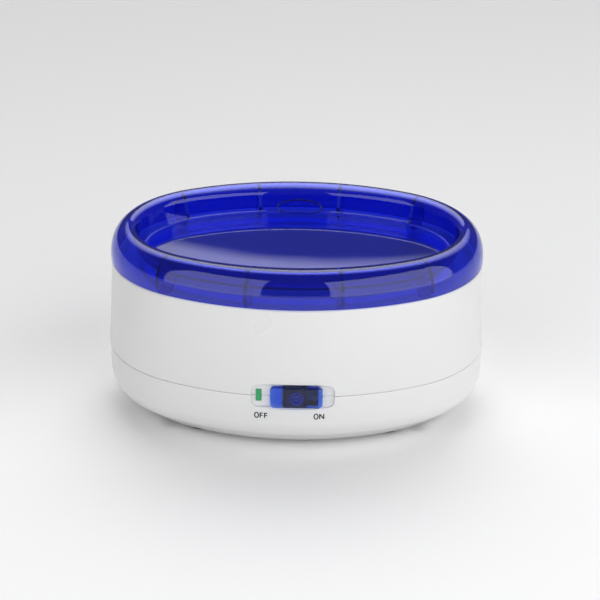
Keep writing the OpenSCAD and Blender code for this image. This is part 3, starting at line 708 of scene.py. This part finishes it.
def make_knob(material, hub_material):
    """Clear blue slide knob with a rounded face and the hub that clips on the carriage's peg."""
    x, z = (knob_low.x + knob_high.x) / 2, (knob_low.z + knob_high.z) / 2
    width, height = knob_high.x - knob_low.x, knob_high.z - knob_low.z
    front, soft = knob_low.y, 0.8 * MM
    back = front_y(0, -RECESS_DEPTH) - 0.3 * MM
    rings = []
    for i in range(7):
        a = math.radians(90 * i / 6)
        shrink = soft * (1 - math.sin(a))
        rings.append((front + soft * (1 - math.cos(a)), width - 2 * shrink, height - 2 * shrink,
                      2.4 * MM - shrink))
    rings.append((back - 0.2 * MM, width, height, 2.4 * MM))
    rings.append((back, width - 0.4 * MM, height - 0.4 * MM, 2.2 * MM))
    knob = front_loft("switch_knob_cap", rings, x, z)
    finish_piece(knob, material, "switch_slider", "blue_knob", "switch_knob")
    return make_hub(hub_material, back, x, z - HUB_DROP)


def make_hub(material, back, x, z):
    """The knob's hub, frosted where it was machined: an outer ring, a groove and a bored core."""
    hub = rod_along_y("knob_hub", HUB_R, back + 0.02 * MM, knob_high.y, x, z)
    groove = rod_along_y("groove", HUB_R - HUB_WALL, back - MM, knob_high.y + MM, x, z)
    core = rod_along_y("core", HUB_CORE_R, back, knob_high.y + 2 * MM, x, z)
    bore = rod_along_y("bore", HUB_BORE_R, back - MM, knob_high.y + MM, x, z)
    apply_boolean(groove, [core], "DIFFERENCE")
    apply_boolean(hub, [groove, bore], "DIFFERENCE")
    remove([groove, core, bore])
    return finish_piece(hub, material, "switch_slider", "blue_knob", "switch_knob")


def rod_along_y(name, radius, y0, y1, x, z, sides=48):
    """A cylinder along Y."""
    verts = [(x + radius * math.cos(2 * math.pi * i / sides), y,
              z + radius * math.sin(2 * math.pi * i / sides))
             for y in (y0, y1) for i in range(sides)]
    return new_object(name, verts, ring_faces(2, sides, False))


def base_skin(x, z):
    """Y of the base's front skin at x and z, above its lower corner."""
    share = (z - CORNER_TOP_Z) / (SEAM_Z - CORNER_TOP_Z)
    return front_y(x, -BASE_INSET * (1 - share) - 0.1 * MM * share)


def stroke(points, width, closed=False):
    """A flat ribbon along points, as left and right edges in x and z."""
    count = len(points)
    left, right = [], []
    for i, (px, pz) in enumerate(points):
        before = points[(i - 1) % count] if closed or i else points[i]
        after = points[(i + 1) % count] if closed or i < count - 1 else points[i]
        dx, dz = after[0] - before[0], after[1] - before[1]
        length = math.hypot(dx, dz)
        nx, nz = -dz / length * width / 2, dx / length * width / 2
        left.append((px + nx, pz + nz))
        right.append((px - nx, pz - nz))
    return left, right


LEGEND_Z = 25.0 * MM
OFF_X = -16.4 * MM
ON_X = 13.7 * MM
LETTERS = {
    "F": (1.45, [[(0, 0), (0, 3)], [(0, 2.8), (1.45, 2.8)], [(0, 1.5), (1.3, 1.5)]]),
    "N": (2.1, [[(0, 0), (0, 3)], [(0, 2.9), (2.1, 0.1)], [(2.1, 0), (2.1, 3)]]),
    "O": (2.05, None),
}


def make_legend(word, centre_x, centre_z, material):
    """Generic OFF or ON, printed as a thin film on the base's skin."""
    gap, width, film = 0.85 * MM, 0.62 * MM, 0.05 * MM
    total = sum(LETTERS[c][0] for c in word) * MM + gap * (len(word) - 1)
    at = centre_x - total / 2
    verts, faces = [], []
    for letter in word:
        advance, strokes = LETTERS[letter]
        if strokes is None:
            runs = [(ellipse((advance / 2, 1.5), advance / 2, 1.5, 0, 345, 23), True)]
        else:
            runs = [(s, False) for s in strokes]
        for points, closed in runs:
            placed = [(at + px * MM, centre_z + (pz - 1.5) * MM) for px, pz in points]
            left, right = stroke(placed, width, closed)
            count, first = len(placed), len(verts)
            for lift in (-0.03 * MM, film):
                for px, pz in left + right:
                    verts.append((px, base_skin(px, pz) - lift, pz))
            span = 2 * count
            for i in range(count if closed else count - 1):
                j = (i + 1) % count
                a, b, c, d = i, j, count + j, count + i
                faces.append(tuple(first + span + v for v in (a, b, c, d)))
                faces.append(tuple(first + v for v in (d, c, b, a)))
                faces.append((first + a, first + b, first + span + b, first + span + a))
                faces.append((first + c, first + d, first + span + d, first + span + c))
            if not closed:
                for i in (0, count - 1):
                    faces.append((first + i, first + span + i, first + span + count + i, first + count + i))
        at += advance * MM + gap
    legend = new_object("legend_" + word.lower(), verts, faces)
    return finish_piece(legend, material, "housing", "black_plastic")


# ---------------------------------------------------------------- carried-over CAD nodes
def dress_nodes(materials):
    """Gives every CAD node that stays its slot's material."""
    slots = {entry["node"]: entry["material_slot"] for entry in frame["record"]["subparts"]}
    for name, obj in frame["nodes"].items():
        obj.data.materials.clear()
        obj.data.materials.append(materials[slots[name]])


# ---------------------------------------------------------------- studio
def area_light(name, place, target, size, power):
    data = bpy.data.lights.new(name, "AREA")
    data.shape = "RECTANGLE"
    data.size, data.size_y = size
    data.energy = power
    light = bpy.data.objects.new(name, data)
    bpy.context.scene.collection.objects.link(light)
    light.location = place
    light.rotation_mode = "QUATERNION"
    light.rotation_quaternion = (Vector(target) - Vector(place)).to_track_quat("-Z", "Y")


def sky_mask(tree, coords, direction, inner, outer):
    """1 within `inner` degrees of a direction, fading to 0 at `outer` degrees."""
    dot = tree.nodes.new("ShaderNodeVectorMath")
    dot.operation = "DOT_PRODUCT"
    dot.inputs[1].default_value = direction
    tree.links.new(coords, dot.inputs[0])
    fade = tree.nodes.new("ShaderNodeMapRange")
    fade.inputs["From Min"].default_value = math.cos(math.radians(outer))
    fade.inputs["From Max"].default_value = math.cos(math.radians(inner))
    tree.links.new(dot.outputs["Value"], fade.inputs["Value"])
    return fade.outputs["Result"]


def make_world():
    """A dim room with one bright panel behind and above, whose lower edge the clear lid's well mirrors."""
    world = bpy.data.worlds.new("studio")
    bpy.context.scene.world = world
    world.use_nodes = True
    tree = world.node_tree
    coords = tree.nodes.new("ShaderNodeTexCoord").outputs["Generated"]
    rise = math.radians(PANEL_RISE)
    panel = sky_mask(tree, coords, (0.0, math.cos(rise), math.sin(rise)), PANEL_CORE, PANEL_RADIUS)
    patch = sky_mask(tree, coords, (0.0, 1.0, 0.0), PATCH_RADIUS - 0.15, PATCH_RADIUS + 0.15)
    outside = tree.nodes.new("ShaderNodeMath")
    outside.operation = "SUBTRACT"
    outside.inputs[0].default_value = 1.0
    tree.links.new(patch, outside.inputs[1])
    both = tree.nodes.new("ShaderNodeMath")
    both.operation = "MULTIPLY"
    tree.links.new(panel, both.inputs[0])
    tree.links.new(outside.outputs["Value"], both.inputs[1])
    strength = tree.nodes.new("ShaderNodeMapRange")
    strength.inputs["To Min"].default_value = ROOM_LIGHT
    strength.inputs["To Max"].default_value = PANEL_LIGHT
    tree.links.new(both.outputs["Value"], strength.inputs["Value"])
    background = tree.nodes["Background"]
    background.inputs["Color"].default_value = (1.0, 1.0, 1.0, 1)
    tree.links.new(strength.outputs["Result"], background.inputs["Strength"])


def soft_box(name, azimuth, width, height, light):
    """A tall panel standing on the floor, facing the cleaner; azimuth is from the front, positive right."""
    turn = math.radians(azimuth)
    place = Vector((SOFT_BOX_DISTANCE * math.sin(turn), -SOFT_BOX_DISTANCE * math.cos(turn), height / 2))
    area_light(name, place, (0, 0, height / 2), (width, height), math.pi * width * height * light)


def make_studio():
    """Pale floor, a dim room with one bright panel, and two soft boxes."""
    make_world()
    size = 6.0
    floor = new_object("floor", [(-size, -size, 0), (size, -size, 0), (size, size, 0), (-size, size, 0)],
                       [(0, 1, 2, 3)])
    n = Nodes("floor_paper")
    n.link(n.ramp(n.noise(3.0), (0.955, 0.955, 0.955), (0.965, 0.965, 0.965)), n.shader.inputs["Base Color"])
    n.set(Roughness=0.8)
    floor.data.materials.append(n.material)
    soft_box("left_box", -38, 1.10, SOFT_BOX_HEIGHT, 1.65)
    soft_box("right_box", 52, 2.00, SOFT_BOX_HEIGHT, 1.95)
    bpy.context.scene.view_settings.view_transform = "Standard"


SOFT_BOX_DISTANCE = 1.3
SOFT_BOX_HEIGHT = 1.8
PANEL_RISE = 50.0
PANEL_CORE = 10.0
PANEL_RADIUS = 36.0
PANEL_LIGHT = 3.0
PATCH_RADIUS = 22.7
ROOM_LIGHT = 0.10
CAMERA_DISTANCE = 1.05
CAMERA_TARGET_Z = 37 * MM
CAMERA_ELEVATION = math.radians(24.9)
CAMERA_TURN = math.radians(1.15)
CAMERA_ROLL = math.radians(0.57)
CAMERA_LENS = 114.15
CAMERA_SHIFT = (0.0063, 0.0571)


def make_camera():
    """Long-lens view from a little right of the front, at the photograph's height."""
    data = bpy.data.cameras.new("camera")
    data.lens = CAMERA_LENS
    data.sensor_width = 36.0
    data.shift_x, data.shift_y = CAMERA_SHIFT
    camera = bpy.data.objects.new("camera", data)
    bpy.context.scene.collection.objects.link(camera)
    turn = Matrix.Rotation(CAMERA_TURN, 3, "Z")
    right = turn @ Vector((1, 0, 0))
    back = turn @ Vector((0, -math.cos(CAMERA_ELEVATION), math.sin(CAMERA_ELEVATION)))
    up = back.cross(right)
    cos, sin = math.cos(CAMERA_ROLL), math.sin(CAMERA_ROLL)
    right, up = cos * right + sin * up, cos * up - sin * right
    camera.matrix_world = Matrix.Translation(Vector((0, 0, CAMERA_TARGET_Z)) + back * CAMERA_DISTANCE) \
        @ Matrix((right, up, back)).transposed().to_4x4()
    bpy.context.scene.camera = camera


make_camera()
make_studio()
materials = make_materials()
dress_nodes(materials)
make_base(materials["white_abs"])
make_upper(materials["white_abs"])
make_tank(materials["stainless"])
make_lid(materials["blue_lid"])
emblem_ring(materials["blue_oval"])
make_knob(materials["blue_knob"], materials["blue_frosted"])
make_legend("OFF", OFF_X, LEGEND_Z, materials["black_plastic"])
make_legend("ON", ON_X, LEGEND_Z, materials["black_plastic"])
